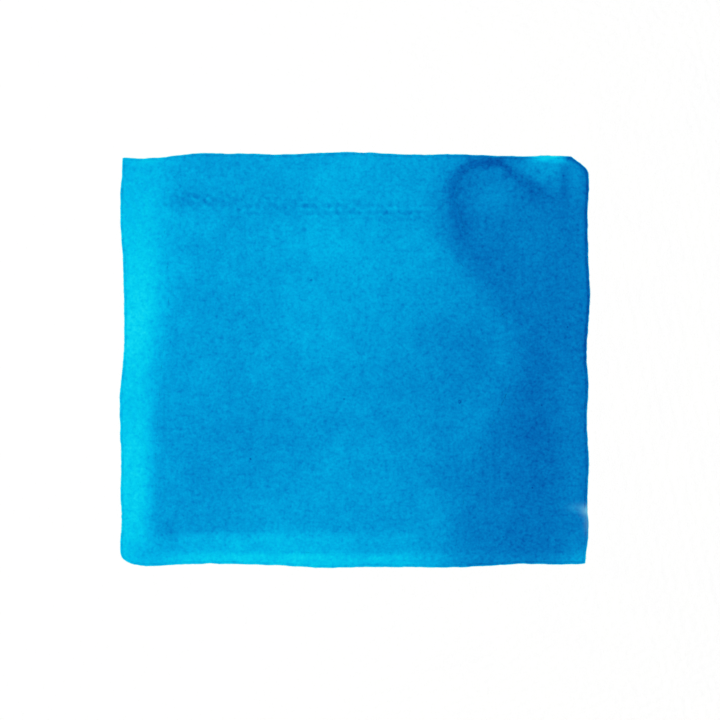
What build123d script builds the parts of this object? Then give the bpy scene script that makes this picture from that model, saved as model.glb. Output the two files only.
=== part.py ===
from build123d import *
import os

# A watercolour sample card: a square of heavy cold-pressed paper with an oblong of blue
# paint brushed on in three coats. It lies face up. The origin is the middle of the back,
# +X is to the right of the sample, +Y is to its top, and +Z is out of the painted face.
# Every size is in millimetres.

os.makedirs("parts", exist_ok=True)

# The sheet, cut from 300 g/m2 cotton paper
SHEET_WIDTH = 120.0
SHEET_HEIGHT = 120.0
SHEET_THICKNESS = 0.55
SHEET_CORNER_RADIUS = 0.5

# The painted oblong, before its edges waver, and how far its middle is from the sheet's
WASH_WIDTH = 70.2
WASH_HEIGHT = 61.8
WASH_SHIFT_X = -0.75

# How deep the first coat soaks into the sheet, and how thick each coat dries
SOAK_DEPTH = 0.03
FIRST_COAT = 0.05
SECOND_COAT = 0.03
DEEP_COAT = 0.03

# The bead of pigment along the outline, and the ridge that the backrun heaps up
BEAD_WIDTH = 0.35
BEAD_HEIGHT = 0.03
RIDGE_WIDTH = 0.9
RIDGE_HEIGHT = 0.04

# How far the second coat stops short of the paint's left and bottom edges, how far the
# deep colour reaches in from its right edge, and how high a grain stands
SECOND_LEFT_MARGIN = 6.0
SECOND_BOTTOM_MARGIN = 2.4
DEEP_WIDTH = 20.6
GRAIN_HEIGHT = 0.12

# Borders run this far past the paint before the outline trims them
OVERRUN = 2.0

# Each edge of the paint as (share of the way along it, how far it bulges outwards).
# Top and bottom run from left to right, left and right from bottom to top.
TOP_EDGE = [
    (0.05, -0.70), (0.10, -0.48), (0.155, 0.0), (0.18, 0.08), (0.22, -0.02), (0.27, 0.0), (0.335, -0.16),
    (0.40, 0.0), (0.476, 0.20), (0.57, 0.0), (0.64, -0.18), (0.72, -0.10), (0.80, -0.32), (0.87, -0.42),
    (0.91, -0.32),
]
BOTTOM_EDGE = [
    (0.10, -0.20), (0.17, -0.38), (0.23, -0.40), (0.33, -0.18), (0.44, 0.20), (0.54, 0.08), (0.64, 0.14),
    (0.76, 0.0), (0.87, -0.40), (0.93, -0.30),
]
LEFT_EDGE = [
    (0.07, -0.02), (0.13, -0.14), (0.16, 0.0), (0.21, -0.04), (0.33, 0.06), (0.42, 0.08), (0.47, -0.20),
    (0.56, -0.56), (0.68, -0.44), (0.75, -0.34), (0.80, -0.10), (0.87, 0.04), (0.91, 0.0), (0.95, -0.22),
]
RIGHT_EDGE = [
    (0.05, -0.36), (0.10, -0.14), (0.13, -0.30), (0.24, -0.10), (0.36, -0.40), (0.45, -0.18), (0.50, -0.42),
    (0.56, -0.30), (0.65, 0.08), (0.72, -0.10), (0.80, -0.26), (0.88, -0.24), (0.92, -0.08),
]

# The corners of the paint as (in from the side, in from the top or bottom). The brush
# cut the top right one off, a straight cut and then a round, and rounded the bottom left.
TOP_LEFT_CORNER = (0.30, 0.65)
TOP_RIGHT_CUT = [(2.70, 0.45), (0.90, 1.85), (0.28, 2.55), (0.10, 3.50)]
BOTTOM_RIGHT_CORNER = (0.62, 0.45)
BOTTOM_LEFT_CURVE = [(3.70, 0.0), (1.90, 0.34), (0.15, 1.40), (0.0, 2.0)]

# The soft borders of the later coats as (share of the way along, bulge towards the paler
# side), and where along the bottom the second coat at last meets the paint's edge
SECOND_LEFT_BORDER = [(0.97, -0.6), (0.82, -0.5), (0.68, -1.2), (0.52, -0.3), (0.32, 0.6), (0.14, 0.6)]
SECOND_BOTTOM_BORDER = [(0.11, -0.2), (0.24, 0.2), (0.42, 0.4), (0.60, 0.6)]
SECOND_MEETS_EDGE = 0.72
DEEP_BORDER = [
    (0.96, 0.8), (0.79, 0.7), (0.69, -3.8), (0.60, -8.0), (0.52, -9.4), (0.38, -7.2), (0.28, -4.2),
    (0.11, -1.2),
]

# The ridge follows the front where the backrun stopped: up its left, round over the top
# and down to the right. X is from the deep colour's border line, Y from the paint's top.
# The ridge is only where the deep colour is, so it is trimmed to that coat.
BACKRUN_FRONT = [
    (1.9, -12.3), (1.0, -9.6), (0.3, -6.3), (1.1, -3.1), (3.7, -1.45), (6.8, -1.35), (9.0, -2.7), (11.5, -4.7),
    (15.1, -6.8),
]

# Grains in the second coat as (share of the way from the paint's left edge to the deep
# border line, share of the way up, radius), and in the deep coat as (in from the paint's
# right edge, share of the way up, radius)
GRAINS_IN_SECOND_COAT = [
    (1.024, 0.398, 0.24), (0.575, 0.694, 0.18), (0.675, 0.405, 0.13), (0.391, 0.26, 0.13),
]
GRAINS_IN_DEEP_COAT = [(8.5, 0.19, 0.14), (3.2, 0.58, 0.12), (7.1, 0.39, 0.12), (12.9, 0.07, 0.12)]

# The paint's four sides, the border line of the deep colour, and the top of each coat
LEFT = WASH_SHIFT_X - WASH_WIDTH / 2
RIGHT = WASH_SHIFT_X + WASH_WIDTH / 2
BOTTOM = -WASH_HEIGHT / 2
TOP = WASH_HEIGHT / 2
DEEP_LINE = RIGHT - DEEP_WIDTH
FIRST_TOP = SHEET_THICKNESS - SOAK_DEPTH + FIRST_COAT
SECOND_TOP = FIRST_TOP + SECOND_COAT
DEEP_TOP = SECOND_TOP + DEEP_COAT


def paint_outline(inset):
    """The paint's outline as a face, with every side and corner moved in by inset."""
    left = LEFT + inset
    right = RIGHT - inset
    bottom = BOTTOM + inset
    top = TOP - inset
    top_run = [(left + share * (right - left), top + bulge) for share, bulge in TOP_EDGE]
    bottom_run = [(left + share * (right - left), bottom - bulge) for share, bulge in BOTTOM_EDGE]
    left_run = [(left - bulge, bottom + share * (top - bottom)) for share, bulge in LEFT_EDGE]
    right_run = [(right + bulge, bottom + share * (top - bottom)) for share, bulge in RIGHT_EDGE]
    top_left = (left + TOP_LEFT_CORNER[0], top - TOP_LEFT_CORNER[1])
    top_right = [(right - x, top - y) for x, y in TOP_RIGHT_CUT]
    bottom_right = (right - BOTTOM_RIGHT_CORNER[0], bottom + BOTTOM_RIGHT_CORNER[1])
    bottom_left = [(left + x, bottom + y) for x, y in BOTTOM_LEFT_CURVE]
    with BuildSketch() as outline:
        with BuildLine():
            Spline(top_left, *top_run, top_right[0])
            Line(*top_right[:2])
            ThreePointArc(*top_right[1:])
            Spline(top_right[-1], *reversed(right_run), bottom_right)
            Spline(bottom_right, *reversed(bottom_run), bottom_left[0])
            Spline(*bottom_left)
            Spline(bottom_left[-1], *left_run, top_left)
        make_face()
    return outline.sketch


def second_coat_reach():
    """Everything right of the second coat's left border and above its bottom border."""
    left_line = LEFT + SECOND_LEFT_MARGIN
    bottom_line = BOTTOM + SECOND_BOTTOM_MARGIN
    border = [(left_line - bulge, BOTTOM + share * WASH_HEIGHT) for share, bulge in SECOND_LEFT_BORDER]
    border += [(LEFT + share * WASH_WIDTH, bottom_line - bulge) for share, bulge in SECOND_BOTTOM_BORDER]
    start = (left_line, TOP + OVERRUN)
    end = (LEFT + SECOND_MEETS_EDGE * WASH_WIDTH, BOTTOM - OVERRUN)
    with BuildSketch() as reach:
        with BuildLine():
            Spline(start, *border, end)
            Polyline(end, (RIGHT + OVERRUN, BOTTOM - OVERRUN), (RIGHT + OVERRUN, TOP + OVERRUN), start)
        make_face()
    return reach.sketch


def deep_coat_reach():
    """Everything right of the deep colour's border."""
    border = [(DEEP_LINE - bulge, BOTTOM + share * WASH_HEIGHT) for share, bulge in DEEP_BORDER]
    start = (DEEP_LINE, TOP + OVERRUN)
    end = (DEEP_LINE, BOTTOM - OVERRUN)
    with BuildSketch() as reach:
        with BuildLine():
            Spline(start, *border, end)
            Polyline(end, (RIGHT + OVERRUN, BOTTOM - OVERRUN), (RIGHT + OVERRUN, TOP + OVERRUN), start)
        make_face()
    return reach.sketch


paint_edge = paint_outline(0.0)
inside_bead = paint_outline(BEAD_WIDTH)
second_reach = second_coat_reach()
deep_reach = deep_coat_reach()

# ---- the sheet, with the shallow bed that the first coat has soaked into ----
with BuildPart() as paper_sheet:
    with BuildSketch():
        RectangleRounded(SHEET_WIDTH, SHEET_HEIGHT, SHEET_CORNER_RADIUS)
    extrude(amount=SHEET_THICKNESS)
    with BuildSketch(Plane.XY.offset(SHEET_THICKNESS)):
        add(paint_edge)
    extrude(amount=-SOAK_DEPTH, mode=Mode.SUBTRACT)
paper_sheet.part.label = "paper_sheet"
export_step(paper_sheet.part, "parts/paper_sheet.step")

# ---- the first coat: pale cyan, over the whole outline ----
with BuildPart() as first_wash:
    with BuildSketch(Plane.XY.offset(SHEET_THICKNESS - SOAK_DEPTH)):
        add(paint_edge)
    extrude(amount=FIRST_COAT)
first_wash.part.label = "first_wash"
export_step(first_wash.part, "parts/first_wash.step")

# ---- the edge bead: pigment drawn out to the outline as the first coat dried ----
with BuildPart() as edge_bead:
    with BuildSketch(Plane.XY.offset(FIRST_TOP)):
        add(paint_edge)
        add(inside_bead, mode=Mode.SUBTRACT)
    extrude(amount=BEAD_HEIGHT)
edge_bead.part.label = "edge_bead"
export_step(edge_bead.part, "parts/edge_bead.step")

# ---- the second coat: azure, inside the bead and short of the left and the bottom ----
with BuildPart() as second_wash:
    with BuildSketch(Plane.XY.offset(FIRST_TOP)):
        add(inside_bead)
        add(second_reach, mode=Mode.INTERSECT)
    extrude(amount=SECOND_COAT)
second_wash.part.label = "second_wash"
export_step(second_wash.part, "parts/second_wash.step")

# ---- the deep charge: cobalt dropped into the right-hand side ----
with BuildPart() as deep_charge:
    with BuildSketch(Plane.XY.offset(SECOND_TOP)):
        add(inside_bead)
        add(deep_reach, mode=Mode.INTERSECT)
    extrude(amount=DEEP_COAT)
deep_charge.part.label = "deep_charge"
export_step(deep_charge.part, "parts/deep_charge.step")

# ---- the backrun ridge: pigment pushed into a heap where clean water ran back ----
with BuildPart() as backrun_ridge:
    with BuildSketch(Plane.XY.offset(DEEP_TOP)):
        with BuildLine():
            Spline(*[(DEEP_LINE + x, TOP + y) for x, y in BACKRUN_FRONT])
        trace(line_width=RIDGE_WIDTH)
        add(inside_bead, mode=Mode.INTERSECT)
        add(deep_reach, mode=Mode.INTERSECT)
    extrude(amount=RIDGE_HEIGHT)
backrun_ridge.part.label = "backrun_ridge"
export_step(backrun_ridge.part, "parts/backrun_ridge.step")

# ---- grains of pigment that never dissolved, on whichever coat holds them ----
with BuildPart() as pigment_grains:
    for across, up, radius in GRAINS_IN_SECOND_COAT:
        with BuildSketch(Plane.XY.offset(SECOND_TOP)):
            with Locations((LEFT + across * (DEEP_LINE - LEFT), BOTTOM + up * WASH_HEIGHT)):
                Circle(radius)
        extrude(amount=GRAIN_HEIGHT)
    for inward, up, radius in GRAINS_IN_DEEP_COAT:
        with BuildSketch(Plane.XY.offset(DEEP_TOP)):
            with Locations((RIGHT - inward, BOTTOM + up * WASH_HEIGHT)):
                Circle(radius)
        extrude(amount=GRAIN_HEIGHT)
pigment_grains.part.label = "pigment_grains"
export_step(pigment_grains.part, "parts/pigment_grains.step")
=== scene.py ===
import math

import bpy
import numpy as np
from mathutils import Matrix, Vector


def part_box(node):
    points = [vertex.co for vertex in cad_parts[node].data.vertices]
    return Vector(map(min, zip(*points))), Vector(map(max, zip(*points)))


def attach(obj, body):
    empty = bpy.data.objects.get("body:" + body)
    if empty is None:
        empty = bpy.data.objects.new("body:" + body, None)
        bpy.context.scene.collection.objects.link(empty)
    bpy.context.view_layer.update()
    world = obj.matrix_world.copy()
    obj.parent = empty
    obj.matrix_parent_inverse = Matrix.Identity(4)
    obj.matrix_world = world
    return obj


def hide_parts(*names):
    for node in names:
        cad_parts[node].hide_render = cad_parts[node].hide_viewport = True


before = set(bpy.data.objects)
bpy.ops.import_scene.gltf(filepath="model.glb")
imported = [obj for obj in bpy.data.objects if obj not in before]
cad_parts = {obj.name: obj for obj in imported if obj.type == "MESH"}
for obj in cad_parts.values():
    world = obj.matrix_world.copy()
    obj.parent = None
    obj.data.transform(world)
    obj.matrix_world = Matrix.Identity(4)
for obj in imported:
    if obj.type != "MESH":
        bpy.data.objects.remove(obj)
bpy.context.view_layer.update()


# ---------------------------------------------------------------------------------------
# The sheet. It is 300 g/m2 cotton paper, pressed cold between felts, which leave a
# rounded, pebbly tooth. It was cut square with a knife, and its margins have risen a
# little off the table as the paint dried. The first coat has soaked a bed into it.
# ---------------------------------------------------------------------------------------
MM = 0.001
TOOTH_SPACING = 1.35 * MM
TOOTH_HEIGHT = 0.04 * MM
TOOTH_FLATNESS = 1.3
MARGIN_LIFT = 0.45 * MM
LIFT_STARTS = 0.31
LIFT_REACH = 0.42
LIFT_SPACING = 26 * MM
LIFT_UNEVENNESS = 0.12
CORNER_LIFT = 0.55
CORNER_TURN = 0.5
SHEET_STEPS = 285
ARRIS = 0.09 * MM
CUT_FUZZ = 0.02 * MM
BED_DEPTH = 0.06 * MM
BED_SHOULDER = 0.6 * MM
BED_OUTSIDE = 0.75
EDGE_SPACING = 0.15 * MM
EDGE_WANDER = 0.02 * MM
EDGE_WANDER_SPACING = 3.2 * MM
EDGE_FINE_SPACING = 1.1 * MM
EDGE_FINE_SHARE = 0.4
CROWDING = 0.45
PAPER_WHITE = 0.945
FIBRE_WIDTH = 0.12 * MM
FIBRE_STRETCH = 0.16

sheet_low, sheet_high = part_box("paper_sheet")


def smooth(t):
    """0 below 0, 1 above 1, and between them 3t^2 - 2t^3, which starts and ends level."""
    t = np.clip(t, 0.0, 1.0)
    return t * t * (3.0 - 2.0 * t)


def ripples(x, y, spacing, seed, waves=36):
    """A random relief of unit strength: the sum of plane waves in random directions, each
    cos(k . (x, y) + phase), with wavelengths from 0.75 to 1.4 times the spacing."""
    draw = np.random.default_rng(seed)
    total = np.zeros(np.shape(x))
    for _ in range(waves):
        turn = draw.uniform(0.0, math.tau)
        rate = math.tau / (spacing * draw.uniform(0.75, 1.4))
        phase = draw.uniform(0.0, math.tau)
        total += np.cos(rate * (x * math.cos(turn) + y * math.sin(turn)) + phase)
    return total * math.sqrt(2.0 / waves)


def tooth(x, y):
    """The felt-pressed tooth, from -1 in a pit to 1 on a pebble: a random relief whose
    heights are rounded off by tanh, so that tops and pits are flat and flanks are steep."""
    return np.tanh(TOOTH_FLATNESS * ripples(x, y, TOOTH_SPACING, seed=11))


def lift(x, y):
    """How far the dried sheet stands off the table: nothing under the paint, and outside
    it a smooth rise with the way out, more at two of the corners than at the others."""
    out = smooth((np.hypot(x, y) / (sheet_high.x - sheet_low.x) - LIFT_STARTS) / LIFT_REACH)
    corners = 1.0 + CORNER_LIFT * np.sin(2.0 * np.arctan2(y, x) + CORNER_TURN)
    return MARGIN_LIFT * out * (corners + LIFT_UNEVENNESS * ripples(x, y, LIFT_SPACING, seed=5))


def face(x, y):
    """The height of the sheet's face before it was painted: the sheet, its tooth and lift."""
    return sheet_high.z + TOOTH_HEIGHT * tooth(x, y) + lift(x, y)


def top_loops(node):
    """The closed loops round the upward faces of a CAD node, each as an (n, 2) array of
    points in order, anticlockwise round paint. An edge that only one such triangle has
    is on a loop, and each edge leads on to the one that starts where it ends."""
    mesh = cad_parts[node].data
    mesh.calc_loop_triangles()
    count = len(mesh.loop_triangles)
    corners = np.empty(count * 3, np.int64)
    mesh.loop_triangles.foreach_get("vertices", corners)
    normals = np.empty(count * 3)
    mesh.loop_triangles.foreach_get("normal", normals)
    points = np.empty(len(mesh.vertices) * 3)
    mesh.vertices.foreach_get("co", points)
    points = points.reshape(-1, 3)
    _, first, same = np.unique(np.round(points, 7), axis=0, return_index=True, return_inverse=True)
    up = same.ravel()[corners].reshape(-1, 3)[normals.reshape(-1, 3)[:, 2] > 0.9]
    edges = {(int(t[i]), int(t[(i + 1) % 3])) for t in up for i in range(3)}
    onward = {a: b for a, b in edges if (b, a) not in edges}
    loops = []
    while onward:
        start, at = onward.popitem()
        chain = [start]
        while at != start:
            chain.append(at)
            at = onward.pop(at)
        loops.append(points[first[chain]][:, :2])
    return loops


def resample(line, shares):
    """The points at those shares of the length of an open line of points."""
    along = np.concatenate([[0.0], np.cumsum(np.hypot(*np.diff(line, axis=0).T))])
    return np.stack([np.interp(shares * along[-1], along, line[:, k]) for k in (0, 1)], axis=1)


def four_sides(loop):
    """A loop cut at its four corners, as its bottom, right, top and left side. A corner is
    the point furthest out along a diagonal of the loop's box."""
    middle = (loop.max(0) + loop.min(0)) / 2
    x, y = ((loop - middle) / (loop.max(0) - loop.min(0))).T
    corners = [np.argmin(x + y), np.argmax(x - y), np.argmax(x + y), np.argmin(x - y)]
    sides = []
    for start, end in zip(corners, corners[1:] + corners[:1]):
        length = (end - start) % len(loop) + 1
        sides.append(loop[(start + np.arange(length)) % len(loop)])
    return sides


def outward(line, closed):
    """The unit vectors at right angles to a line, to its right as it runs."""
    along = np.gradient(line, axis=0)
    if closed:
        along = np.roll(line, -1, axis=0) - np.roll(line, 1, axis=0)
    return np.stack([along[:, 1], -along[:, 0]], axis=1) / np.hypot(*along.T)[:, None]


def ragged(loop, seed):
    """A loop resampled evenly and moved in and out along its normals by a random relief,
    as a wet edge feels its way round the pebbles of the tooth."""
    closed = np.concatenate([loop, loop[:1]])
    count = int(np.hypot(*np.diff(closed, axis=0).T).sum() / EDGE_SPACING)
    even = resample(closed, np.arange(count) / count)
    x, y = even.T
    step = ripples(x, y, EDGE_WANDER_SPACING, seed)
    step += EDGE_FINE_SHARE * ripples(x, y, EDGE_FINE_SPACING, seed + 1)
    return even + EDGE_WANDER * step[:, None] * outward(even, True)


def depth_inside(sides, x, y):
    """How far a point is inside four sides, each read as a function of x or of y: the
    least of the four distances, which is negative outside."""
    bottom, right, top, left = (side[np.argsort(side[:, k])] for side, k in zip(sides, (0, 1, 0, 1)))
    over_bottom = y - np.interp(x, bottom[:, 0], bottom[:, 1])
    under_top = np.interp(x, top[:, 0], top[:, 1]) - y
    past_left = x - np.interp(y, left[:, 1], left[:, 0])
    before_right = np.interp(y, right[:, 1], right[:, 0]) - x
    return np.minimum(np.minimum(over_bottom, under_top), np.minimum(past_left, before_right))


def crowded_ends(n):
    """Shares from 0 to 1 drawn closer together near both ends: n - c sin(2 pi n) / 2 pi."""
    return n - CROWDING * np.sin(math.tau * n) / math.tau


def patch(sides, across, up):
    """A grid of points over the area inside four sides, with the rows set closer near the
    edges. Each point is the bottom blended into the top, plus the left blended into the
    right, less the same blend of the four corners: Coons's patch."""
    bottom, right, top, left = sides
    s, t = (crowded_ends(np.linspace(0.0, 1.0, count + 1)) for count in (across, up))
    low, high = (resample(side, s)[:, None] for side in (bottom, top[::-1]))
    west, east = (resample(side, t)[None] for side in (left[::-1], right))
    s = s[:, None, None]
    t = t[None, :, None]
    between = (1 - s) * ((1 - t) * low[:1] + t * high[:1]) + s * ((1 - t) * low[-1:] + t * high[-1:])
    return (1 - t) * low + t * high + (1 - s) * west + s * east - between


def border(grid):
    """The outer row of a grid, anticlockwise from its first corner."""
    return np.concatenate([grid[:-1, 0], grid[-1, :-1], grid[:0:-1, -1], grid[0, :0:-1]])


def at_height(flat, height):
    """Points (x, y) with a height for each as the third number."""
    return np.concatenate([flat, np.broadcast_to(height, flat.shape[:-1])[..., None]], axis=-1)


def quads(a, b, c, d):
    """Four-sided faces from four arrays of point numbers of one shape."""
    return np.stack([a, b, c, d], axis=-1).reshape(-1, 4).tolist()


def add_piece(name, points, faces, values):
    """A smooth-shaded mesh object from points and faces, with one number per point under
    each name in values."""
    mesh = bpy.data.meshes.new(name)
    mesh.from_pydata(points.tolist(), [], faces)
    for key, numbers in values.items():
        stored = mesh.attributes.new(key, "FLOAT", "POINT")
        stored.data.foreach_set("value", numbers.astype(np.float32))
    mesh.shade_smooth()
    piece = bpy.data.objects.new(name, mesh)
    bpy.context.scene.collection.objects.link(piece)
    return piece


def add_slab(name, top, rings, back, values_at):
    """A closed slab from a fine grid of points for its face, rings of points that step
    down its edge, and a grid a third as fine for its back. Panels with four points above
    and two below join the last ring to the back. The face's rim is shaded sharp."""
    grid = np.arange(top[..., 0].size).reshape(top.shape[:2])
    loops = [border(grid)]
    placed = grid.size
    for ring in rings:
        loops.append(placed + np.arange(len(ring)))
        placed += len(ring)
    under = placed + np.arange(back[..., 0].size).reshape(back.shape[:2])
    faces = quads(grid[:-1, :-1], grid[1:, :-1], grid[1:, 1:], grid[:-1, 1:])
    for upper, lower in zip(loops, loops[1:]):
        faces += quads(upper, lower, np.roll(lower, -1), np.roll(upper, -1))
    last = loops[-1]
    edge = border(under)
    panels = [last[::3], edge, np.roll(edge, -1), np.roll(last[::3], -1), last[2::3], last[1::3]]
    faces += np.stack(panels, axis=-1).tolist()
    faces += quads(under[:-1, :-1], under[:-1, 1:], under[1:, 1:], under[1:, :-1])
    points = np.concatenate([top.reshape(-1, 3), *rings, back.reshape(-1, 3)])
    piece = add_piece(name, points, faces, values_at(points[:, 0], points[:, 1]))
    on_rim = np.isin(np.arange(len(points)), loops[0])
    ends = np.empty(len(piece.data.edges) * 2, np.int64)
    piece.data.edges.foreach_get("vertices", ends)
    piece.data.edges.foreach_set("use_edge_sharp", on_rim[ends].reshape(-1, 2).all(axis=1))
    return piece


class Value:
    """A node socket that can be added, subtracted, multiplied and divided. Each such
    expression adds its Math node to the material."""

    def __init__(self, finish, socket):
        self.finish = finish
        self.socket = socket

    def maths(self, operation, *numbers):
        inputs = dict(enumerate(numbers))
        return self.finish.node("ShaderNodeMath", {"operation": operation}, inputs)

    def __add__(self, other):
        return self.maths("ADD", self, other)

    def __sub__(self, other):
        return self.maths("SUBTRACT", self, other)

    def __rsub__(self, other):
        return self.maths("SUBTRACT", other, self)

    def __mul__(self, other):
        return self.maths("MULTIPLY", self, other)

    __radd__ = __add__
    __rmul__ = __mul__

    def above(self, floor):
        return self.maths("MAXIMUM", self, floor)

    def to_e(self):
        return self.maths("EXPONENT", self)


class Finish:
    """A material under construction: node() adds any node, and shade() ends it."""

    def __init__(self, name):
        self.material = bpy.data.materials.new(name)
        self.material.use_nodes = True
        self.tree = self.material.node_tree
        self.tree.nodes.clear()
        self.place = self.node("ShaderNodeTexCoord", out="Object")

    def node(self, kind, settings=None, inputs=None, out=0):
        """Adds a node of a kind, sets it up, then fills its sockets with numbers or links,
        and gives one of its outputs."""
        made = self.tree.nodes.new(kind)
        for key, setting in (settings or {}).items():
            setattr(made, key, setting)
        for key, given in (inputs or {}).items():
            if isinstance(given, Value):
                self.tree.links.new(given.socket, made.inputs[key])
            else:
                made.inputs[key].default_value = given
        return Value(self, made.outputs[out]) if made.outputs else None

    def stored(self, key):
        return self.node("ShaderNodeAttribute", {"attribute_name": key}, out="Fac")

    def noise(self, size, detail=2.0, stretch=None):
        """Soft noise about -1 to 1 whose blots are about that size in metres."""
        place = self.place
        if stretch:
            place = self.node("ShaderNodeMapping", None, {"Vector": place, "Scale": stretch})
        inputs = {"Vector": place, "Scale": 1.0 / size, "Detail": detail}
        return self.node("ShaderNodeTexNoise", {"normalize": False}, inputs)

    def shade(self, red, green, blue, roughness, relief, specular):
        """Ends the material: one Principled surface, with relief as a height in metres."""
        color = self.node("ShaderNodeCombineColor", None, {"Red": red, "Green": green, "Blue": blue})
        normal = self.node("ShaderNodeBump", None, {"Height": relief, "Distance": 1.0})
        inputs = {"Base Color": color, "Roughness": roughness, "Normal": normal}
        surface = self.node("ShaderNodeBsdfPrincipled", None, inputs | {"Specular IOR Level": specular})
        self.node("ShaderNodeOutputMaterial", None, {"Surface": surface})
        return self.material


def cotton_paper():
    """Bright white cotton: faint warm clouds where the pulp lay thicker, and fibres a few
    hundredths of a millimetre wide that run every way and stand just proud."""
    finish = Finish("cotton_paper")
    clouds = finish.noise(6 * MM, detail=3.0)
    fibres = finish.noise(FIBRE_WIDTH, stretch=(1.0, FIBRE_STRETCH, 1.0))
    fibres += finish.noise(FIBRE_WIDTH, stretch=(FIBRE_STRETCH, 1.0, 1.0))
    grit = finish.noise(0.3 * MM, detail=3.0)
    white = PAPER_WHITE + clouds * 0.006 + fibres * 0.008
    relief = fibres * (0.003 * MM) + grit * (0.012 * MM)
    return finish.shade(white, white, white - 0.004 - clouds * 0.004, 0.9 + grit * 0.05, relief, 0.2)


paint_loop = ragged(top_loops("first_wash")[0], seed=21)
paint_sides = four_sides(paint_loop)


def bed(x, y):
    """How deep the sheet is pressed and soaked under the paint, from nothing just outside
    the paint's edge to the full depth just inside it. Most of the shoulder is outside."""
    return BED_DEPTH * smooth(BED_OUTSIDE + depth_inside(paint_sides, x, y) / BED_SHOULDER)


sheet_loop = max(top_loops("paper_sheet"), key=np.ptp)
cut_edge = patch(four_sides(sheet_loop), SHEET_STEPS, SHEET_STEPS)
inset = 1.0 - 2.0 * ARRIS / (sheet_high.x - sheet_low.x)
sheet_grid = cut_edge * inset
under_grid = sheet_grid[::3, ::3]
rim = border(cut_edge)
rim_x, rim_y = rim.T
fuzz = CUT_FUZZ * ripples(rim_x, rim_y, 0.9 * MM, seed=8)
cut_rings = [
    at_height(rim, face(rim_x, rim_y) - 0.4 * ARRIS),
    at_height(rim * (1.0 + fuzz / sheet_high.x)[:, None], lift(rim_x, rim_y) + 0.5 * sheet_high.z),
    at_height(rim, lift(rim_x, rim_y) + 0.5 * ARRIS),
]
sheet_x, sheet_y = np.moveaxis(sheet_grid, -1, 0)
under_x, under_y = np.moveaxis(under_grid, -1, 0)
paper = add_slab(
    "paper",
    at_height(sheet_grid, face(sheet_x, sheet_y) - bed(sheet_x, sheet_y)),
    cut_rings,
    at_height(under_grid, lift(under_x, under_y) + 0.3 * TOOTH_HEIGHT * (1.0 + tooth(under_x, under_y))),
    lambda x, y: {},
)
paper.data.materials.append(cotton_paper())
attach(paper, "root")
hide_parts("paper_sheet")


# ---------------------------------------------------------------------------------------
# The first coat. It is pale cyan watercolour: a stain of fine pigment in gum arabic, wiped
# on wet with a flat brush over the whole oblong. It shows along the left and the bottom.
# ---------------------------------------------------------------------------------------
SOAKED_WHITE = 0.925
RED_PER_LOAD = 14.0
BLUE_PER_LOAD = 0.28
DEEP_LOAD = 0.8
DEEP_BLUE_PER_LOAD = 0.18
SCUFF = (0.25, 0.68, 0.84)
BLOT_SIZE = 1.5 * MM
GRANULE_SIZE = 0.62 * MM
SPECK_SIZE = 0.34 * MM
BLOT_LOAD = 0.10
GRANULE_LOAD = 0.11
SPECK_LOAD = 0.16
CROWDED_LOAD = 0.24
CROWDED_ABOVE = 0.16
PIT_LOAD = 0.012
PAINT_GLOSS = 0.015
FEATHER = 1.2 * MM
CLEARANCE = 0.016 * MM

paint_low, paint_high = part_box("first_wash")
paint_middle = (paint_low + paint_high) / 2
paint_half = (paint_high - paint_low) / 2
second_sides = four_sides(top_loops("second_wash")[0])
deep_sides = four_sides(top_loops("deep_charge")[0])

# The first coat's load of pigment up the left margin, as (share of the way up, load)
LEFT_MARGIN_LOADS = [
    (0.0, 0.58), (0.08, 0.54), (0.20, 0.47), (0.30, 0.52), (0.40, 0.58), (0.46, 0.56), (0.53, 0.44),
    (0.60, 0.42), (0.68, 0.49), (0.76, 0.56), (0.86, 0.65), (0.96, 0.78),
]

# The second coat's load: an even coat, and soft patches where it lay wetter or drier, as
# (right of the middle, above the middle, half width, half height, load) in millimetres
SECOND_COAT_LOAD = 1.05
SECOND_PATCHES = [
    (-3, 18, 9, 7, -0.14), (-6, 6, 6, 5, -0.10), (-18, 6, 7, 7, 0.08), (9, -3, 10, 10, 0.15),
    (18, 1, 8, 11, 0.38), (-15.5, -11.5, 9, 8, 0.12), (-23, -19.5, 4, 5, 0.10), (-1.5, -15, 4, 3, -0.10),
    (-9.5, -21, 9, 3.5, -0.12), (-24, 21, 4, 3, -0.12), (-2, 28, 4, 3, -0.17), (-5, 20, 3, 4, -0.06),
    (14, -17, 4, 5, 0.24), (18, 28, 4, 3, -0.1), (-12, -26, 7, 2, -0.16), (-28.2, -18.2, 4.0, 2.4, -0.11),
    (-28.2, -6.4, 2.2, 2.4, -0.12), (-27, 13.5, 3.0, 4.0, -0.10),
]

# How far the second coat's soft border has crept to the left of its line, as (share of the
# way up, millimetres)
BORDER_CREEP = [
    (0.0, 2.6), (0.08, 1.9), (0.17, 0.9), (0.3, 0.6), (0.42, 1.1), (0.5, 1.3), (0.65, 1.0), (0.78, 0.4),
    (0.88, -0.4), (1.0, -0.9),
]


def load_at(points, share):
    """A load read off a list of (share, load), with straight runs between them."""
    return np.interp(share, *zip(*points))


def uneven(kind, x, y, seed):
    """A random relief of a given (strength, spacing)."""
    strength, spacing = kind
    return strength * ripples(x, y, spacing, seed)


def patches(u, v, spots):
    """The sum of round patches, each load * exp(-(across / width)^2 - (up / height)^2)."""
    total = np.zeros(np.shape(u))
    for x, y, width, height, load in spots:
        total += load * np.exp(-(((u - x) / width) ** 2) - ((v - y) / height) ** 2)
    return total


def left_border(sides, y):
    """Where the left one of four sides is, at that height."""
    side = sides[3][::-1]
    order = np.argsort(side[:, 1])
    return np.interp(y, side[order, 1], side[order, 0])


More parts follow.
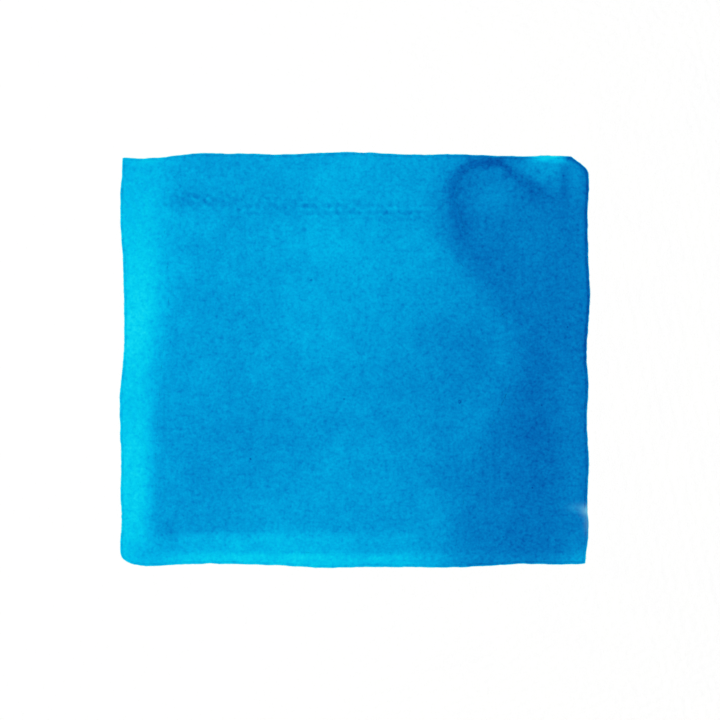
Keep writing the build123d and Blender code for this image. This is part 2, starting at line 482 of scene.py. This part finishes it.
def midline(loop):
    """The line midway between the two long sides of a ribbon's outline, from its lowest
    end to the end furthest to the right."""
    start = np.argmin(loop[:, 1])
    turned = np.roll(loop, -start, axis=0)
    far = np.argmax(turned[:, 0])
    shares = np.linspace(0.0, 1.0, 240)
    one = resample(turned[: far + 1], shares)
    other = resample(np.concatenate([turned[far:], turned[:1]])[::-1], shares)
    return (one + other) / 2


front = midline(top_loops("backrun_ridge")[0])

# The pigment heaped along the backrun's front, as (share of the way along, load), and how
# wide the heap is, in millimetres
FRONT_LOADS = [
    (0.0, 0.22), (0.15, 0.30), (0.35, 0.38), (0.46, 0.60), (0.64, 0.70), (0.72, 0.45), (0.85, 0.40),
    (1.0, 0.10),
]
FRONT_WIDTHS = [(0.0, 1.1), (0.15, 1.5), (0.4, 1.0), (0.5, 0.6), (0.66, 0.6), (0.76, 1.3), (1.0, 1.6)]

# The deep colour's load, and its patches in the same form as the second coat's
DEEP_COAT_LOAD = 1.66
DEEP_PATCHES = [
    (27, -11, 3, 6, 0.17), (32, -5, 2.5, 6, -0.2), (20, -23, 3.5, 6, -0.24), (33, -18, 2.5, 8, -0.22),
    (34, -29.5, 2.5, 3, -0.45), (30, -27, 3, 5, -0.1), (24, -15, 3, 5, -0.12), (17.7, -4.4, 2.0, 3.0, -0.2),
    (17.5, 9.5, 4, 5, 0.16), (26.3, -7.7, 3, 2, -0.14), (26.2, 17.5, 3, 2.5, -0.12),
]

# Patches over all the coats: a puddle in the bottom left corner, places along the edges
# where the paint drained off, the thinned colour behind the backrun and the run beside it
LATE_PATCHES = [
    (-30.6, -29.2, 3.4, 2.0, 0.24), (-28.0, -26.4, 2.2, 1.6, 0.16), (-10.0, -28.6, 10.0, 1.5, -0.07),
    (3.2, -30.0, 2.2, 0.6, -0.2), (17.2, -28.4, 2.5, 1.2, -0.2), (33.4, -22.4, 1.8, 1.0, -0.12),
    (14.2, -3.2, 3.0, 3.0, -0.10), (29.6, 26.2, 1.6, 2.0, -0.10),
    (-30.9, 30.2, 2.2, 0.9, -0.22), (-25.4, 30.0, 1.6, 0.8, -0.14), (15.7, 29.8, 2.0, 1.2, -0.3),
    (21.0, 24.5, 4.0, 3.0, -0.30), (27.5, 28.6, 4.2, 2.2, -0.5), (31.3, 27.2, 0.6, 2.6, 0.34),
    (33.2, 26.6, 1.0, 2.6, -0.3), (31.0, 29.6, 1.6, 1.2, -0.24),
]

# The line of pigment along the outline, thin or broad as (load, width in millimetres), and
# where it is broad, in millimetres right of the paint's middle and above it
THIN_LINE = (0.25, 0.20)
BROAD_LINE = (0.9, 0.36)
LINE_BROAD_FROM = 31.5
LINE_BROAD_DOWN_TO = -22.4

# Outside the outline the load falls to this share of itself
FRINGE_SHARE = 0.10

# The band of settled granules across the upper left: its load, half width and right end, and
# its height at two places, in millimetres from the paint's middle
BAND_LOAD = 0.14
BAND_WIDTH = 1.3
BAND_END = 14.0
BAND_PLACES = (-28.0, 12.0)
BAND_HEIGHTS = (24.3, 21.5)

# The two steps towards the bottom edge: the load each takes away, its height over the edge
# and the width of its soft border, in millimetres
UPPER_STEP = (0.30, 6.0, 1.8)
LOWER_STEP = (0.27, 2.75, 1.4)

# The widths of the soft borders, in millimetres: the deep colour's, and the left one's at
# two heights from the paint's middle
DEEP_BORDER_WIDTH = 7.0
LEFT_BORDER_HEIGHTS = (-5.0, 5.0)
LEFT_BORDER_WIDTHS = (4.2, 6.5)

# The crescent at the top: its middle and half sizes in millimetres, and how bare it is
CRESCENT_MIDDLE = (28.9, 30.8)
CRESCENT_HALF = (2.7, 1.15)
CRESCENT_BARE = 0.68
SCALLOP_DEPTH = 0.14
SCALLOP_SPACING = 1.3 * MM

# The outline's soft edge: how far outside it starts, and its width, in millimetres
OUTLINE_STARTS = 0.08
OUTLINE_WIDTH = 0.14

# How unevenly the colour lies, each as (strength, spacing of the relief)
BROAD_CLOUDS = (0.025, 7 * MM)
SMALL_CLOUDS = (0.02, 3 * MM)
BAND_BREAKS = (0.8, 1.1 * MM)
LINE_DASHES = (0.4, 2.2 * MM)
HEAP_LOBES = (0.22, 2.1 * MM)
HEAP_TEETH = (0.16, 0.8 * MM)
HEAP_CRUMBS = (0.12, 0.7 * MM)

# The place on the right edge where a damp cloth lifted the paint and scuffed the paper: a
# spot, a smear running down the edge and another inwards, as patches
LIFTED_PATCHES = [
    (34.8, -22.6, 0.75, 0.7, 0.46), (34.9, -24.4, 0.45, 1.5, 0.20), (33.7, -22.1, 1.4, 0.6, 0.06),
]


def nearest_on_front(x, y):
    """The distance to the nearest point of the backrun's front, and its share along it."""
    distance = np.full(np.shape(x), np.inf)
    share = np.zeros(np.shape(x))
    for k, (front_x, front_y) in enumerate(front):
        here = np.hypot(x - front_x, y - front_y)
        closer = here < distance
        distance = np.where(closer, here, distance)
        share = np.where(closer, k / (len(front) - 1), share)
    return distance, share


def from_middle(x, y):
    """How far right of the paint's middle and above it a point is, in millimetres."""
    return (x - paint_middle.x) / MM, (y - paint_middle.y) / MM


def coats_load(x, y):
    """The load of the three coats. The first coat's load, up the left margin, rises to the
    second coat's across a soft border, and that to the deep colour's across another.
    Towards the bottom edge the load falls in two soft steps."""
    u, v = from_middle(x, y)
    up = (y - paint_low.y) / (paint_high.y - paint_low.y)
    first = load_at(LEFT_MARGIN_LOADS, up)
    second = SECOND_COAT_LOAD + 0.1 * smooth((2.0 - v) / 14.0) + patches(u, v, SECOND_PATCHES)
    second += uneven(BROAD_CLOUDS, x, y, seed=31) + uneven(SMALL_CLOUDS, x, y, seed=32)

    # the band of settled granules across the upper left
    sag = v - np.interp(u, BAND_PLACES, BAND_HEIGHTS)
    broken = 1.0 + uneven(BAND_BREAKS, x, y, seed=33)
    second += BAND_LOAD * np.exp(-((sag / BAND_WIDTH) ** 2)) * smooth((BAND_END - u) / 6.0) * broken

    # the deep colour, across its border
    past = (x - left_border(deep_sides, y)) / MM
    deep = DEEP_COAT_LOAD + 0.14 * smooth((12.0 - v) / 16.0) + patches(u, v, DEEP_PATCHES)
    load = second + (deep - second) * smooth(0.5 + past / DEEP_BORDER_WIDTH)

    # the two steps towards the bottom edge
    over_bottom = v + paint_half.y / MM
    taken, height, width = UPPER_STEP
    upper_step = taken * (1.0 - 0.5 * smooth((u + 4.0) / 6.0)) * smooth((14.0 - u) / 8.0)
    load -= upper_step * smooth((height - over_bottom) / width)
    taken, height, width = LOWER_STEP
    load -= taken * smooth((height - over_bottom) / width)

    # the soft border at the left
    inside = (x - left_border(second_sides, y)) / MM + load_at(BORDER_CREEP, up)
    width = np.interp(v, LEFT_BORDER_HEIGHTS, LEFT_BORDER_WIDTHS)
    return first + (load - first) * smooth(0.5 + inside / width)


def line_load(x, y):
    """The load of the line that dried along the outline, each part of it falling away
    inwards as e^-(depth / width)^2: fine and broken, but broad down the right side."""
    u, v = from_middle(x, y)
    strong = smooth(u - LINE_BROAD_FROM) * smooth(1.5 * (v - LINE_BROAD_DOWN_TO))
    dashes = np.clip(0.8 + uneven(LINE_DASHES, x, y, seed=51), 0.1, 1.6)
    depth = np.maximum(depth_inside(paint_sides, x, y), 0.0) / MM
    thin = THIN_LINE[0] * dashes * np.exp(-((depth / THIN_LINE[1]) ** 2))
    fading = 0.35 + 0.65 * smooth((v + 8.0) / 12.0)
    broad = BROAD_LINE[0] * (0.6 + 0.4 * dashes) * fading * np.exp(-((depth / BROAD_LINE[1]) ** 2))
    return thin * (1.0 - strong) + broad * strong


def heap_load(x, y):
    """The load of the heap along the backrun's front: e^-(distance / width)^2 across it,
    with its width and height made ragged by random reliefs."""
    distance, share = nearest_on_front(x, y)
    width = load_at(FRONT_WIDTHS, share) * MM
    ragged_width = 1.0 + uneven(HEAP_LOBES, x, y, seed=34) + uneven(HEAP_TEETH, x, y, seed=35)
    crumbly = 1.0 + uneven(HEAP_CRUMBS, x, y, seed=36)
    return load_at(FRONT_LOADS, share) * np.exp(-((distance * ragged_width / width) ** 2)) * crumbly


def pigment(x, y):
    """The load of pigment over a point of the paint: minus the natural log of the share of
    green light that it sends back. It is the coats, the line along the outline, the heap at
    the backrun's front and the late patches, all together. A crescent at the top, scalloped
    along its lower side, is all but bare, and outside the outline the paint thins away."""
    u, v = from_middle(x, y)
    load = coats_load(x, y) + line_load(x, y) + heap_load(x, y) + patches(u, v, LATE_PATCHES)
    scallops = SCALLOP_DEPTH * ripples(x, y, SCALLOP_SPACING, seed=37)
    across = (u - CRESCENT_MIDDLE[0]) / CRESCENT_HALF[0]
    above = (v - CRESCENT_MIDDLE[1] + scallops) / CRESCENT_HALF[1]
    load *= 1.0 - CRESCENT_BARE * np.exp(-(across**4) - above**4)
    outline = smooth((depth_inside(paint_sides, x, y) / MM + OUTLINE_STARTS) / OUTLINE_WIDTH)
    return np.maximum(load * (FRINGE_SHARE + (1.0 - FRINGE_SHARE) * outline), 0.05)


def lifted(x, y):
    """How much of the paint was lifted, from 0 for none to 1 for all."""
    return patches(*from_middle(x, y), LIFTED_PATCHES)


def paint_values(x, y):
    """What a coat's material needs at each point."""
    return {"load": pigment(x, y), "pebble": tooth(x, y), "lifted": lifted(x, y)}


def watercolour(name, sheen, grain):
    """Stained paper seen through its paint. Each channel is the white of the soaked paper
    times e^-(its absorption x the load), so more pigment is darker and bluer. The load is
    uneven at every scale down to single granules, and heavier in the pits of the tooth."""
    finish = Finish(name)
    blots = finish.noise(BLOT_SIZE, detail=1.0)
    granules = finish.noise(GRANULE_SIZE, detail=1.0)
    specks = finish.noise(SPECK_SIZE, detail=1.0)
    even = finish.stored("load")
    pit = 0.0 - finish.stored("pebble")
    crowded = (granules - CROWDED_ABOVE).above(0.0)
    speckle = blots * BLOT_LOAD + granules * GRANULE_LOAD + specks * SPECK_LOAD
    speckle = speckle + crowded * CROWDED_LOAD + pit * PIT_LOAD
    load = (even + speckle * grain * (0.35 + even * 0.6)).above(0.03)
    deep = (load - DEEP_LOAD).above(0.0)
    scuff = finish.stored("lifted")
    kept = 1.0 - scuff
    red = (load * -RED_PER_LOAD).to_e() * SOAKED_WHITE * kept + scuff * SCUFF[0]
    green = (load * -1.0).to_e() * SOAKED_WHITE * kept + scuff * SCUFF[1]
    blue = (load * -BLUE_PER_LOAD - deep * DEEP_BLUE_PER_LOAD).to_e() * SOAKED_WHITE * kept
    blue = blue + scuff * SCUFF[2]
    relief = granules * (0.006 * MM) + specks * (0.004 * MM)
    return finish.shade(red, green, blue, sheen - load * 0.05 + granules * 0.04, relief, PAINT_GLOSS)


def add_coat(name, sides, steps, top_at, back_at, finish):
    """A coat as a closed slab over a patch inside four sides: its face, a rounded edge and
    its back."""
    grid = patch(sides, *steps)
    edge = border(grid)
    under = grid[::3, ::3]
    ring = at_height(edge, back_at(*edge.T) * 0.5 + top_at(*edge.T) * 0.5)
    piece = add_slab(
        name,
        at_height(grid, top_at(*np.moveaxis(grid, -1, 0))),
        [ring],
        at_height(under, back_at(*np.moveaxis(under, -1, 0))),
        paint_values,
    )
    piece.data.materials.append(finish)
    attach(piece, "root")
    return piece


FIRST_RISE = paint_high.z - sheet_high.z
FIRST_SOAK = sheet_high.z - paint_low.z


def first_face(x, y):
    """The top of the first coat: a rounded edge, and pressed flatter under the second."""
    edge = smooth(0.3 + depth_inside(paint_sides, x, y) / (0.4 * MM))
    under_second = smooth(depth_inside(second_sides, x, y) / FEATHER)
    return face(x, y) + FIRST_RISE * edge - CLEARANCE * under_second


first_coat = add_coat(
    "first_coat",
    paint_sides,
    (273, 240),
    first_face,
    lambda x, y: face(x, y) - FIRST_SOAK,
    watercolour("cyan_paint", 0.80, 1.0),
)
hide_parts("first_wash")


# ---------------------------------------------------------------------------------------
# The second coat. It is azure, brushed over the first once that was dry, and stops short
# of the left and the bottom, where its border was softened with a damp brush.
# ---------------------------------------------------------------------------------------
SECOND_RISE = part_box("second_wash")[1].z - paint_high.z


def second_face(x, y):
    """The top of the second coat: it thins to nothing at its border."""
    rise = smooth(depth_inside(second_sides, x, y) / FEATHER)
    return first_face(x, y) + CLEARANCE + (SECOND_RISE - CLEARANCE) * rise


second_coat = add_coat(
    "second_coat",
    second_sides,
    (255, 228),
    second_face,
    lambda x, y: first_face(x, y) - CLEARANCE,
    watercolour("azure_paint", 0.76, 1.0),
)
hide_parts("second_wash")


# ---------------------------------------------------------------------------------------
# The deep colour. It is cobalt, dropped into the right-hand side while the second coat was
# wet, so that it spread and settled with no edge of its own.
# ---------------------------------------------------------------------------------------
DEEP_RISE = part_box("deep_charge")[1].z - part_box("second_wash")[1].z


def deep_face(x, y):
    """The top of the deep colour, which thins to nothing at its border as well."""
    rise = smooth(depth_inside(deep_sides, x, y) / FEATHER)
    return second_face(x, y) + CLEARANCE + (DEEP_RISE - CLEARANCE) * rise


deep_coat = add_coat(
    "deep_coat",
    deep_sides,
    (90, 246),
    deep_face,
    lambda x, y: second_face(x, y) - CLEARANCE,
    watercolour("cobalt_paint", 0.72, 1.0),
)
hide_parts("deep_charge")


# ---------------------------------------------------------------------------------------
# The backrun's ridge. Clean water ran back into the half-dry colour, pushed its pigment
# along and dropped it in a low, crumbled heap where it stopped.
# ---------------------------------------------------------------------------------------
RIDGE_STATIONS = 260
RIDGE_POINTS = 18
RIDGE_HALF_WIDTH = 0.45 * MM
RIDGE_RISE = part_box("backrun_ridge")[1].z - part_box("deep_charge")[1].z


def add_tubes(name, rings, closed, values):
    """Closed tubes from an array of rings of points, numbered by tube, station and place
    on the ring. A tube's ends meet if it is closed, and are capped if it isn't."""
    number = np.arange(rings[..., 0].size).reshape(rings.shape[:3])
    onward = np.roll(number, -1, axis=1)
    if not closed:
        onward = onward[:, :-1]
    here = number[:, : onward.shape[1]]
    faces = quads(here, onward, np.roll(onward, -1, axis=2), np.roll(here, -1, axis=2))
    if not closed:
        faces += number[:, 0].tolist() + number[:, -1, ::-1].tolist()
    return add_piece(name, rings.reshape(-1, 3), faces, values)


shares = np.linspace(0.0, 1.0, RIDGE_STATIONS)
ridge_line = resample(front, shares)
taper = np.sqrt(np.clip(1.0 - (2.0 * shares - 1.0) ** 10, 0.0025, 1.0))
half_width = RIDGE_HALF_WIDTH * taper * (1.0 + 0.16 * ripples(*ridge_line.T, 1.1 * MM, seed=41))
turn = np.linspace(0.0, math.tau, RIDGE_POINTS, endpoint=False)
ridge_reach = half_width[:, None] * np.cos(turn)
ridge_flat = ridge_line[:, None] + outward(ridge_line, False)[:, None] * ridge_reach[..., None]
ridge_x, ridge_y = np.moveaxis(ridge_flat, -1, 0)
crumbs = taper[:, None] * (1.0 + 0.3 * ripples(ridge_x, ridge_y, 0.5 * MM, seed=43))
swell = np.where(np.sin(turn) > 0, RIDGE_RISE * crumbs, CLEARANCE) * np.sin(turn)
ridge_rings = at_height(ridge_flat, deep_face(ridge_x, ridge_y) + swell)
backrun = add_tubes("backrun", ridge_rings[None], False, paint_values(ridge_x.ravel(), ridge_y.ravel()))
backrun.data.materials.append(watercolour("heaped_pigment", 0.82, 1.0))
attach(backrun, "root")
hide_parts("backrun_ridge")


# ---------------------------------------------------------------------------------------
# The bead along the outline. As the paint dried, its pigment was drawn out to the edge of
# the wet and left there as a fine dark line, strongest down the right-hand side.
# ---------------------------------------------------------------------------------------
BEAD_POINTS = 10
BEAD_HALF_WIDTH = 0.20 * MM
BEAD_LINE = 0.11 * MM
BEAD_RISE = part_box("edge_bead")[1].z - paint_high.z

turn = np.linspace(0.0, math.tau, BEAD_POINTS, endpoint=False)
reach = BEAD_HALF_WIDTH * np.cos(turn) - BEAD_LINE
bead_flat = paint_loop[:, None] + outward(paint_loop, True)[:, None] * reach[None, :, None]
bead_x, bead_y = np.moveaxis(bead_flat, -1, 0)
beading = 1.0 + 0.2 * ripples(bead_x, bead_y, 1.5 * MM, seed=53)
swell = np.where(np.sin(turn) > 0, BEAD_RISE * beading, CLEARANCE)
bead_rings = at_height(bead_flat, first_face(bead_x, bead_y) + swell * np.sin(turn))
bead_values = paint_values(bead_x.ravel(), bead_y.ravel())
bead = add_tubes("bead", bead_rings[None], True, bead_values)
bead.data.materials.append(watercolour("edge_pigment", 0.7, 1.0))
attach(bead, "root")
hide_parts("edge_bead")


# ---------------------------------------------------------------------------------------
# The grains. A few lumps of pigment never broke up in the water and dried where they lay.
# ---------------------------------------------------------------------------------------
GRAIN_LEVELS = 9
GRAIN_POINTS = 16
GRAIN_LOAD = 0.55
GRAIN_TALL = 0.8
GRAIN_SUNK = 0.35

grain_loops = top_loops("pigment_grains")
grain_places = np.array([(loop.max(0) + loop.min(0)) / 2 for loop in grain_loops])
grain_sizes = np.array([np.ptp(loop, axis=0).mean() / 2 for loop in grain_loops])
grain_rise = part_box("pigment_grains")[1].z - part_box("deep_charge")[1].z
level = np.linspace(-GRAIN_SUNK, 0.985, GRAIN_LEVELS)[None, :, None]
turn = -np.linspace(0.0, math.tau, GRAIN_POINTS, endpoint=False)[None, None]
girth = grain_sizes[:, None, None] * np.sqrt(1.0 - level**2)
around = np.stack([girth * np.cos(turn), girth * np.sin(turn)], axis=-1)
grain_flat = grain_places[:, None, None] + around
lumps = 1.0 + 0.16 * ripples(grain_flat[..., 0], grain_flat[..., 1], 0.3 * MM, seed=61)
grain_flat = grain_places[:, None, None] + around * lumps[..., None]
grain_x, grain_y = np.moveaxis(grain_flat, -1, 0)
grain_face = deep_face(*grain_places.T)[:, None, None]
grain_tall = GRAIN_TALL * grain_rise * np.sqrt(grain_sizes / grain_sizes.max())[:, None, None]
grain_rings = at_height(grain_flat, grain_face + level * grain_tall)
grain_values = paint_values(grain_x.ravel(), grain_y.ravel())
grain_values["load"] += GRAIN_LOAD
grains = add_tubes("grains", grain_rings, False, grain_values)
grains.data.materials.append(watercolour("loose_grain", 0.85, 2.0))
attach(grains, "root")
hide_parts("pigment_grains")


# ---------------------------------------------------------------------------------------
# The table under the sheet, two soft lights at its sides and the camera straight above. The
# table is a plain matt board, far wider than the sheet.
# ---------------------------------------------------------------------------------------
TABLE_HALF = 2.0
TABLE_DROP = 0.01 * MM
LIGHT_DISTANCE = 0.9
LIGHT_SIZE = 0.6
SKY = 0.54
CAMERA_HEIGHT = 0.300
LENS = 100.0

corners = TABLE_HALF * np.array([(-1, -1), (1, -1), (1, 1), (-1, 1)])
table = add_piece("table", at_height(corners, np.full(4, -TABLE_DROP)), [(0, 1, 2, 3)], {})
table_top = Finish("table_top")
flecks = table_top.noise(4 * MM, detail=4.0) * 0.008
tone = 0.75 + flecks
table.data.materials.append(table_top.shade(tone, tone, tone, 0.8 + flecks, flecks * (0.02 * MM), 0.2))


def add_light(name, side, watts):
    """A square soft light, 45 degrees up on one side and turned to the sheet."""
    data = bpy.data.lights.new(name, "AREA")
    data.size = LIGHT_SIZE
    data.energy = watts
    light = bpy.data.objects.new(name, data)
    light.location = (side * LIGHT_DISTANCE * math.sqrt(0.5), 0.0, LIGHT_DISTANCE * math.sqrt(0.5))
    light.rotation_euler = (0.0, side * math.radians(45), 0.0)
    bpy.context.scene.collection.objects.link(light)


add_light("left_light", -1, 4.4)
add_light("right_light", 1, 2.5)

world = bpy.data.worlds.new("studio")
world.use_nodes = True
world.node_tree.nodes["Background"].inputs["Color"].default_value = (SKY, SKY, SKY, 1.0)
bpy.context.scene.world = world

camera_data = bpy.data.cameras.new("camera")
camera_data.lens = LENS
camera = bpy.data.objects.new("camera", camera_data)
camera.location = (0.0, 0.0, sheet_high.z + CAMERA_HEIGHT)
bpy.context.scene.collection.objects.link(camera)
bpy.context.scene.camera = camera
bpy.context.scene.view_settings.view_transform = "Standard"
